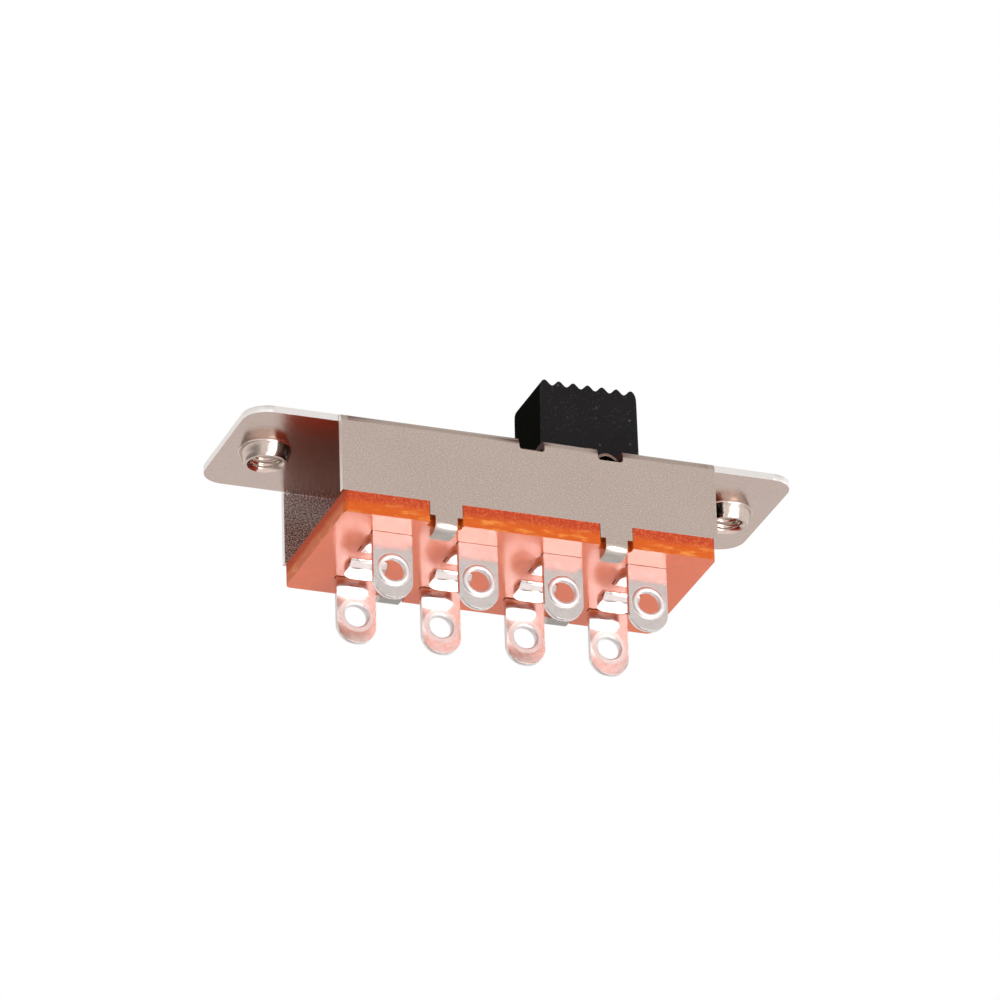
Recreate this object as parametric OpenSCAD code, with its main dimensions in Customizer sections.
// Slide switch with three positions, two rows of four solder lugs and two tapped ears.
//
// Millimetres, +Z up. The origin is the middle of the two ear holes, on the face of the
// plate that lies against the panel. X runs along the knob's travel and the lug rows,
// Z up through the knob. Every piece is drawn where it sits with the knob at its right stop.
// The terminal board, its lugs and the crimp tabs look the same after half a turn about Z.

/* [Frame] */
// Thickness of the frame's sheet steel
sheet_t = 0.5; // [0.4:0.05:0.7]
// Length of the channel that holds the mechanism
channel_l = 28; // [27.6:0.1:30]
// Width of the channel over its walls
channel_w = 13; // [12.4:0.1:14.2]
// Height of the walls, from the panel face down to the terminal board
wall_h = 6.05; // [5.7:0.05:7.2]
// Inside radius of the folds in the sheet
fold_r = 0.15; // [0.1:0.05:0.3]

/* [Ears] */
// Length of the plate over both ears
plate_l = 41; // [40:0.5:46]
// Width of the ears
ear_w = 11.9; // [10:0.1:12.6]
// Corner radius of the ears
ear_corner_r = 1.8; // [0.5:0.1:3]
// Distance between the two tapped holes
hole_spacing = 34.8; // [33.8:0.1:35.8]
// Minor diameter of the tapped holes
thread_d = 2.15; // [1.8:0.05:2.4]
// Depth of the drawn collars under the ears
collar_h = 1.08; // [0.5:0.02:1.6]
// Collar diameter where it leaves the ear
collar_base_d = 3.66; // [3.4:0.02:4.2]
// Collar diameter at its rim
collar_rim_d = 3.04; // [2.7:0.02:3.3]
// Bevel round the hole at the collar's rim
rim_bevel = 0.24; // [0.1:0.02:0.26]
// Radius where the sheet is drawn down into the collar
draw_r = 0.4; // [0.2:0.05:0.6]

// Radius of the hollow round the collar's foot
collar_foot_r = 0.14; // [0.08:0.02:0.2]

/* [Window and detents] */
// Knob travel from one position to the next
detent_pitch = 6.1; // [5:0.1:6.2]
// Gap round the knob in its window
window_gap = 0.25; // [0.1:0.05:0.5]
// Corner radius of the window
window_corner_r = 0.5; // [0.2:0.1:1.5]
// Distance of the middle detent notch from the frame's centre line
mid_notch_x = 0.2; // [0:0.05:0.4]
// Width of the detent notches
notch_w = 1.9; // [1.6:0.05:2.6]
// How far the notches run down the wall, from the panel face
notch_drop = 1.05; // [0.8:0.05:1.6]
// How far the notches run into the plate, from the wall's outer face
notch_in = 2.3; // [1.8:0.1:2.6]
// Corner radius of the notches
notch_corner_r = 0.25; // [0.1:0.05:0.4]

/* [Crimp tabs] */
// Width of a tab where it passes the board's edge
tab_w = 2.4; // [2:0.1:3]
// Width of a tab's folded end
tab_tip_w = 1.6; // [1.2:0.05:1.9]
// How far down the board's edge a tab keeps its full width
tab_shoulder = 1.05; // [0.5:0.05:1.1]
// How far a folded tab reaches in under the board, from the wall's outer face
tab_reach = 1.6; // [1.3:0.1:2.2]
// Corner radius of a tab's end
tab_corner_r = 0.3; // [0.1:0.1:0.5]

/* [Terminal board] */
// Length of the board
board_l = 27.7; // [26:0.1:30]
// Thickness of the board
board_t = 1.65; // [1.4:0.05:2.4]
// Corner radius of the board
board_corner_r = 0.4; // [0.2:0.1:2]
// Side clearance of what passes through the board
slot_play = 0.04; // [0.02:0.01:0.1]

/* [Terminals] */
// Distance from one terminal to the next along a row
terminal_pitch = 6.35; // [5.8:0.05:6.6]
// Distance between the two rows of lugs
row_gap = 7.78; // [7.2:0.02:8.4]
// Thickness of the terminal strip
terminal_t = 0.4; // [0.3:0.05:0.5]
// Inside radius of the terminals' folds
terminal_fold_r = 0.12; // [0.08:0.02:0.2]
// Width of a lug
lug_w = 2.9; // [2.7:0.05:3.4]
// Length of a lug below the board
lug_l = 4.95; // [4:0.05:8]
// Corner radius of a lug's rounded end
lug_end_r = 1.35; // [0.4:0.05:1.35]
// Diameter of a lug's eye
eye_d = 1.7; // [1.2:0.05:1.8]
// Height of the eye's centre above the lug's end
eye_up = 2.1; // [1.8:0.05:2.6]
// Width of the raised lip round the eye
lip_w = 0.38; // [0.2:0.02:0.38]
// Height of the raised lip
lip_h = 0.18; // [0.06:0.02:0.3]
// Bevel of the eye on the lug's other face
eye_bevel = 0.13; // [0.04:0.01:0.2]
// Width of the tongue that is clinched under the board
tongue_w = 2.7; // [1.6:0.1:2.7]
// Distance of the tongue's slot from the board's centre line
tongue_slot_y = 0.85; // [0.6:0.05:1.1]
// Space left between a tongue's end and its lug
tongue_end_gap = 0.65; // [0.3:0.05:0.8]
// Corner radius of a tongue's end
tongue_end_r = 0.9; // [0.3:0.05:1]
// Inside radius of the fold that clinches a tongue
clinch_r = 0.4; // [0.2:0.05:0.5]

/* [Slider] */
// Length of the knob along its travel, at its foot
knob_l = 7.55; // [6:0.05:7.6]
// Width of the knob across its travel, at its foot
knob_w = 5.4; // [4.8:0.1:6]
// Height of the knob's ridges above the panel face
knob_h = 6.8; // [4:0.1:9]
// Number of grip ridges
ridges = 7; // [4:1:8]
// Depth of the grooves between the ridges
ridge_depth = 0.4; // [0.2:0.02:0.6]
// Distance of the outer ridges' crests from the knob's ends
ridge_margin = 0.5; // [0.3:0.02:0.6]
// How much each side of the knob leans in from foot to top
knob_draft = 0.1; // [0:0.02:0.2]
// Radius on the knob's upright edges
knob_edge_r = 0.3; // [0.1:0.05:0.6]
// Length of the flange under the plate
flange_l = 15; // [13.8:0.1:15.6]
// Thickness of the flange
flange_t = 1.5; // [1:0.1:1.8]
// Clearance of the flange from each wall
side_play = 0.12; // [0.05:0.01:0.25]

/* [Springs] */
// Thickness of the detent spring
spring_t = 0.2; // [0.15:0.01:0.25]
// Clearance of the flat detent spring under the plate
spring_gap = 0.1; // [0.08:0.01:0.15]
// Clearance between the spring's rails and the inner ends of the notches
rail_play = 0.1; // [0.05:0.01:0.3]
// Distance of the spring's ends from the flange's ends
spring_inset = 0.8; // [0.2:0.1:1.2]
// Gap between the knob and the spring's ends
spring_knob_gap = 0.5; // [0.2:0.1:1]
// Rise of the detent crown that sits in a notch
crown_h = 0.52; // [0.3:0.02:0.6]
// Rise of the detent crown that is pressed down under the plate
crown_pressed_h = 0.06; // [0.02:0.01:0.07]
// Thickness of a contact bridge
bridge_t = 0.25; // [0.15:0.01:0.35]
// Width of a contact bridge
bridge_w = 2.2; // [1.6:0.1:2.6]
// Rise of a contact bridge from its feet to its middle
bridge_rise = 1.7; // [1.3:0.1:2]
// Upturned length beyond each foot of a contact bridge
bridge_toe = 1.1; // [0.6:0.1:1.3]
// Clearance of a bridge's feet above the terminals
contact_gap = 0.05; // [0.02:0.01:0.1]
// Clearance round a contact bridge in its pocket
pocket_play = 0.2; // [0.1:0.05:0.3]
// Thickness of the pocket walls
pocket_wall = 0.8; // [0.5:0.1:1]
// Clearance of the slider's block above the terminals
block_gap = 0.35; // [0.2:0.05:0.6]

/* [Hidden] */
$fn = 64;
cut = 1; // how far a cutting shape runs past the face that it opens

// Levels, from the panel face downwards
plate_z = -sheet_t;
spring_z = plate_z - spring_gap - spring_t;
flange_z = spring_z - flange_t;
board_z = -wall_h;
board_bottom_z = board_z - board_t;
land_z = board_z + terminal_t;
block_z = land_z + block_gap;
foot_z = land_z + contact_gap;
lug_end_z = board_bottom_z - lug_l;
eye_z = lug_end_z + eye_up;
rim_z = plate_z - collar_h;

// The folded channel
bend_r = fold_r + sheet_t;
inner_w = channel_w - 2*sheet_t;
window_l = knob_l + 2*detent_pitch + 2*window_gap;
window_w = knob_w + 2*window_gap;

// The slider's place: right of centre by one step
slider_x = detent_pitch;
flange_w = inner_w - 2*side_play;

// Where the terminals stand
lug_y = row_gap/2;
terminal_bend_r = terminal_fold_r + terminal_t;
terminal_x = [for (i = [0:3]) (i - 1.5)*terminal_pitch];
tab_x = [-terminal_pitch, terminal_pitch];

// The detent spring's rails run under the notches, its window clears the knob
crown_run = notch_w*2/3;
rail_in = channel_w/2 - notch_in + rail_play;
rail_out = flange_w/2 - side_play;
spring_window_l = knob_l + 2*spring_knob_gap;
spring_l = flange_l - 2*spring_inset;

// The contact bridges and their pockets
bridge_y = (tongue_slot_y + lug_y)/2;
bridge_half_l = terminal_pitch/2 + bridge_toe;
pocket_l = 2*(bridge_half_l + pocket_play);
pocket_w = bridge_w + 2*pocket_play;
pocket_roof_z = foot_z + bridge_rise + bridge_t;
block_l = pocket_l + 2*pocket_wall;
block_w = 2*bridge_y + pocket_w + 2*pocket_wall;

numbers = [1:4];

steel = "#b8ab9e";
phenolic = "#d8602c";
tin = "#cfcac8";
black = "#1f1d1d";
spring_steel = "#9a938c";
silvered = "#c9b48f";

// ---- Shared shapes ------------------------------------------------------------------

// A flat rectangle with round corners, centred
module rounded_rect(size, r) {
    square([size.x - 2*r, size.y], center = true);
    square([size.x, size.y - 2*r], center = true);
    for (x = [-1, 1], y = [-1, 1])
        translate([x*(size.x/2 - r), y*(size.y/2 - r)]) circle(r);
}

// A strip that hangs from y = 0 to y = -length, with its two lower corners round
module round_ended(width, length, r) {
    intersection() {
        translate([-width/2, -length]) square([width, length]);
        union() {
            translate([-width/2, r - length]) square([width, length]);
            translate([r - width/2, -length]) square([width - 2*r, length]);
            for (side = [-1, 1]) translate([side*(width/2 - r), r - length]) circle(r);
        }
    }
}

// A 2D shape in Y and Z, drawn out along X and centred there
module along_x(length) {
    rotate([90, 0, 90]) linear_extrude(length, center = true) children();
}

// A 2D shape in X and Z, drawn out along Y and centred there
module along_y(length) {
    rotate([90, 0, 0]) linear_extrude(length, center = true) children();
}

// A quarter ring: the section of a fold, in the quadrant that (right, up) points to
module fold_section(inner_r, outer_r, right, up) {
    reach = outer_r + cut;
    intersection() {
        difference() {
            circle(outer_r);
            circle(inner_r);
        }
        translate([(right - 1)*reach/2, (up - 1)*reach/2]) square(reach);
    }
}

// A bent strip's outline: the path's points are set off by half the thickness to each side
function direction(path, i) =
    let (a = path[max(i - 1, 0)], b = path[min(i + 1, len(path) - 1)]) (b - a)/norm(b - a);
function offset_side(path, d) =
    [for (i = [0:len(path) - 1]) let (t = direction(path, i)) path[i] + d*[-t.y, t.x]];
function reversed(list) = [for (i = [len(list) - 1:-1:0]) list[i]];
function strip_outline(path, t) = concat(offset_side(path, t/2), reversed(offset_side(path, -t/2)));

// Half a cosine wave, from 1 at u = 0 down to 0 at u = 1 and beyond
function half_wave(u) = u >= 1 ? 0 : (1 + cos(180*u))/2;

// ---- Frame --------------------------------------------------------------------------

// A flat-topped block with its two top corners round
module round_topped(width, height, r) {
    translate([-width/2, -height]) square([width, height - r]);
    translate([r - width/2, -height]) square([width - 2*r, height]);
    for (side = [-1, 1]) translate([side*(width/2 - r), -r]) circle(r);
}

module channel() {
    along_x(channel_l)
        difference() {
            round_topped(channel_w, wall_h, bend_r);
            translate([0, plate_z]) round_topped(inner_w, wall_h, fold_r);
        }
}

// The plate with both ears. Beside the channel it stops where the folds begin.
module plate() {
    translate([0, 0, plate_z])
        linear_extrude(sheet_t)
            difference() {
                rounded_rect([plate_l, ear_w], ear_corner_r);
                for (side = [-1, 1])
                    translate([0, side*channel_w/2])
                        square([channel_l, 2*bend_r], center = true);
            }
}

// A collar drawn down out of the ear: a small hollow round its foot, then a cone that
// runs straight to the rim
module collar() {
    foot_r = collar_base_d/2 + collar_foot_r;
    rotate_extrude()
        polygon(concat(
            [[0, plate_z + sheet_t/2], [foot_r, plate_z + sheet_t/2]],
            [for (a = [0:15:90])
                [foot_r - collar_foot_r*sin(a), plate_z - collar_foot_r*(1 - cos(a))]],
            [[collar_rim_d/2, rim_z], [0, rim_z]]
        ));
}

// The hole through the collar: drawn-in mouth at the top, bevel at the rim
module collar_hole() {
    r = thread_d/2;
    translate([0, 0, rim_z - cut]) cylinder(h = -rim_z + 2*cut, r = r);
    translate([0, 0, rim_z]) mirror([0, 0, 1]) cylinder(h = cut, r = r + rim_bevel);
    translate([0, 0, rim_z]) cylinder(h = rim_bevel, r1 = r + rim_bevel, r2 = r);
    rotate_extrude()
        difference() {
            translate([0, -draw_r]) square([r + draw_r, draw_r + cut]);
            translate([r + draw_r, -draw_r]) circle(draw_r);
        }
}

// A notch across the front fold, for the detent spring's crown
module detent_notch() {
    depth = notch_in + cut;
    translate([0, notch_in - channel_w/2 - depth/2, cut])
        along_y(depth) round_ended(notch_w, notch_drop + cut, notch_corner_r);
}

// One crimp tab on the front wall: full width past the board's edge, then narrower and
// folded in flat against the board's underside
module crimp_tab() {
    front_y = -channel_w/2;
    inner_y = front_y + sheet_t;
    leg_end_z = board_bottom_z + fold_r;
    translate([0, front_y + sheet_t/2, board_z + cut])
        along_y(sheet_t) square_down(tab_w, tab_shoulder + cut);
    translate([0, front_y + sheet_t/2, board_z])
        along_y(sheet_t) square_down(tab_tip_w, board_z - leg_end_z);
    translate([0, inner_y + fold_r, leg_end_z])
        along_x(tab_tip_w) fold_section(fold_r, bend_r, -1, -1);
    translate([0, inner_y + fold_r, board_bottom_z - sheet_t])
        linear_extrude(sheet_t) mirror([0, 1])
            round_ended(tab_tip_w, tab_reach - bend_r, tab_corner_r);
}

// A rectangle that hangs from y = 0
module square_down(width, length) {
    translate([-width/2, -length]) square([width, length]);
}

module frame() {
    color(steel)
        difference() {
            union() {
                channel();
                plate();
                for (side = [-1, 1]) translate([side*hole_spacing/2, 0, 0]) collar();
                for (turn = [0, 180]) rotate(turn)
                    for (x = tab_x) translate([x, 0, 0]) crimp_tab();
            }
            for (side = [-1, 1]) translate([side*hole_spacing/2, 0, 0]) collar_hole();
            translate([0, 0, plate_z - cut])
                linear_extrude(sheet_t + 2*cut)
                    rounded_rect([window_l, window_w], window_corner_r);
            for (turn = [0, 180]) rotate(turn)
                for (x = [mid_notch_x, detent_pitch]) translate([x, 0, 0]) detent_notch();
        }
}

// ---- Terminal board -----------------------------------------------------------------

// A slot in the front half of the board, from its near side y0 to its far side y1
module board_slot(width, y0, y1) {
    translate([-width/2 - slot_play, y0]) square([width + 2*slot_play, y1 - y0]);
}

module terminal_board() {
    half_t = terminal_t/2;
    color(phenolic)
        translate([0, 0, board_bottom_z])
            linear_extrude(board_t)
                difference() {
                    rounded_rect([board_l, channel_w], board_corner_r);
                    for (turn = [0, 180]) rotate(turn) {
                        for (x = terminal_x) translate([x, 0]) {
                            board_slot(lug_w, -lug_y - half_t - slot_play,
                                       -lug_y + half_t + terminal_fold_r);
                            board_slot(tongue_w, -tongue_slot_y - half_t - clinch_r,
                                       -tongue_slot_y + half_t + slot_play);
                        }
                        for (x = tab_x) translate([x, 0])
                            board_slot(tab_w, -channel_w/2 - cut, -channel_w/2 + sheet_t + fold_r);
                    }
                }
}

// ---- Terminals ----------------------------------------------------------------------

// The raised lip round the eye, about Z, standing up from z = 0. Its inner edge starts
// inside the bore, so the bore trims it to a rounded crest.
module eye_lip() {
    root = 0.05;
    half_w = (lip_w + root)/2;
    middle_r = eye_d/2 - root + half_w;
    rotate_extrude()
        polygon(concat(
            [[middle_r - half_w, -terminal_t/2]],
            [for (a = [180:-15:0]) [middle_r + half_w*cos(a), lip_h*sin(a)]],
            [[middle_r + half_w, -terminal_t/2]]
        ));
}

// The upright lug with its eye. The lip is on the outer face, the bevel on the inner one.
module lug() {
    top_z = land_z - terminal_bend_r;
    outer_y = -lug_y - terminal_t/2;
    difference() {
        union() {
            translate([0, -lug_y, top_z])
                along_y(terminal_t) round_ended(lug_w, top_z - lug_end_z, lug_end_r);
            translate([0, outer_y, eye_z]) rotate([90, 0, 0]) eye_lip();
        }
        translate([0, -lug_y, eye_z]) rotate([90, 0, 0])
            cylinder(h = lug_l, d = eye_d, center = true);
        translate([0, -lug_y + terminal_t/2, eye_z]) rotate([90, 0, 0])
            cylinder(h = eye_bevel, d1 = eye_d + 2*eye_bevel, d2 = eye_d);
    }
}

// The tongue's foot, flat against the board's underside and pointing at the lug
module tongue_foot() {
    start_y = -tongue_slot_y - terminal_t/2 - clinch_r;
    length = lug_y - terminal_t/2 - tongue_end_gap + start_y;
    translate([0, start_y, board_bottom_z - terminal_t])
        linear_extrude(terminal_t)
            round_ended(tongue_w, length, tongue_end_r);
}

// One terminal of the front row: lug, land on the board, tongue through it and clinched
module terminal() {
    lug_bend_y = -lug_y + terminal_t/2 + terminal_fold_r;
    tongue_bend_y = -tongue_slot_y - terminal_t/2 - terminal_fold_r;
    top_bend_z = board_z - terminal_fold_r;
    foot_bend_y = -tongue_slot_y - terminal_t/2 - clinch_r;
    foot_bend_z = board_bottom_z + clinch_r;
    color(tin) union() {
        lug();
        translate([0, lug_bend_y, top_bend_z])
            along_x(lug_w) fold_section(terminal_fold_r, terminal_bend_r, -1, 1);
        translate([0, (lug_bend_y + tongue_bend_y)/2, board_z + terminal_t/2])
            cube([lug_w, tongue_bend_y - lug_bend_y, terminal_t], center = true);
        translate([0, tongue_bend_y, top_bend_z])
            along_x(tongue_w) fold_section(terminal_fold_r, terminal_bend_r, 1, 1);
        translate([0, -tongue_slot_y, (top_bend_z + foot_bend_z)/2])
            cube([tongue_w, terminal_t, top_bend_z - foot_bend_z], center = true);
        translate([0, foot_bend_y, foot_bend_z])
            along_x(tongue_w) fold_section(clinch_r, clinch_r + terminal_t, 1, -1);
        tongue_foot();
    }
}

module terminal_front(i) {
    translate([terminal_x[i - 1], 0, 0]) terminal();
}

// The back row is the front row after half a turn, still counted from the left
module terminal_back(i) {
    rotate(180) terminal_front(5 - i);
}

// ---- Slider -------------------------------------------------------------------------

// Depth of the grip below its crests, from 0 to 1
function grip_wave(turns) = (1 - cos(360*turns))/2;

// The knob seen from the front: leaning sides, rounded shoulders and the row of ridges
module knob_profile() {
    steps = 8;
    crest_x = knob_l/2 - ridge_margin;
    end_x = knob_l/2 - knob_draft;
    shoulder = end_x - crest_x;
    pitch = 2*crest_x/(ridges - 1);
    crests = [for (i = [0:(ridges - 1)*steps])
        [i*pitch/steps - crest_x, knob_h - ridge_depth*grip_wave(i/steps)]];
    right = [for (a = [75:-15:0])
        [crest_x + shoulder*cos(a), knob_h - 2*shoulder*(1 - sin(a))]];
    left = reversed([for (p = right) [-p.x, p.y]]);
    polygon(concat(
        [[-knob_l/2, spring_z]], left, crests, right, [[knob_l/2, spring_z]]
    ));
}

module knob() {
    height = knob_h - spring_z;
    intersection() {
        along_y(knob_w) knob_profile();
        along_x(knob_l)
            polygon([[-knob_w/2, spring_z], [knob_draft - knob_w/2, knob_h],
                     [knob_w/2 - knob_draft, knob_h], [knob_w/2, spring_z]]);
        translate([0, 0, spring_z])
            linear_extrude(height) rounded_rect([knob_l, knob_w], knob_edge_r);
    }
}

module slider() {
    color(black)
        translate([slider_x, 0, 0])
            difference() {
                union() {
                    knob();
                    translate([-flange_l/2, -flange_w/2, flange_z])
                        cube([flange_l, flange_w, flange_t]);
                    translate([-block_l/2, -block_w/2, block_z])
                        cube([block_l, block_w, flange_z - block_z + flange_t/2]);
                }
                for (side = [-1, 1])
                    translate([-pocket_l/2, side*bridge_y - pocket_w/2, block_z - cut])
                        cube([pocket_l, pocket_w, pocket_roof_z - block_z + cut]);
            }
}

// ---- Springs ------------------------------------------------------------------------

// One rail of the detent spring, flat but for its crown, centred on the knob
module spring_rail(rise) {
    steps = 12;
    middle_z = spring_z + spring_t/2;
    crown = [for (i = [-steps:steps])
        [crown_run*i/steps, middle_z + rise*half_wave(abs(i)/steps)]];
    path = concat([[-spring_l/2, middle_z]], crown, [[spring_l/2, middle_z]]);
    translate([0, -(rail_in + rail_out)/2, 0])
        along_y(rail_out - rail_in) polygon(strip_outline(path, spring_t));
}

// At the right stop the front crown sits in its notch and the back one is pressed flat
module detent_spring() {
    end_l = (spring_l - spring_window_l)/2;
    color(spring_steel)
        translate([slider_x, 0, 0]) union() {
            spring_rail(crown_h);
            rotate(180) spring_rail(crown_pressed_h);
            for (side = [-1, 1])
                translate([side*(spring_l - end_l)/2, 0, spring_z + spring_t/2])
                    cube([end_l, 2*rail_out, spring_t], center = true);
        }
}

// A bowed strip: its middle bears on the pocket's roof, its two feet on the terminals
module contact_bridge() {
    steps = 14;
    foot_x = terminal_pitch/2;
    middle_z = foot_z + bridge_t/2;
    toe_rise = bridge_rise*bridge_toe/foot_x;
    bow = [for (i = [-steps:steps])
        [foot_x*i/steps, middle_z + bridge_rise*half_wave(abs(i)/steps)]];
    toe = [for (i = [1:steps/2])
        [foot_x + bridge_toe*2*i/steps, middle_z + toe_rise*(1 - half_wave(2*i/steps))]];
    path = concat(reversed([for (p = toe) [-p.x, p.y]]), bow, toe);
    color(silvered)
        translate([slider_x, -bridge_y, 0])
            along_y(bridge_w) polygon(strip_outline(path, bridge_t));
}

module contact_bridge_front() contact_bridge();
module contact_bridge_back() mirror([0, 1, 0]) contact_bridge();

// ---- The pieces ---------------------------------------------------------------------

frame();
terminal_board();
for (i = numbers) {
    terminal_front(i);
    terminal_back(i);
}
slider();
detent_spring();
contact_bridge_front();
contact_bridge_back();
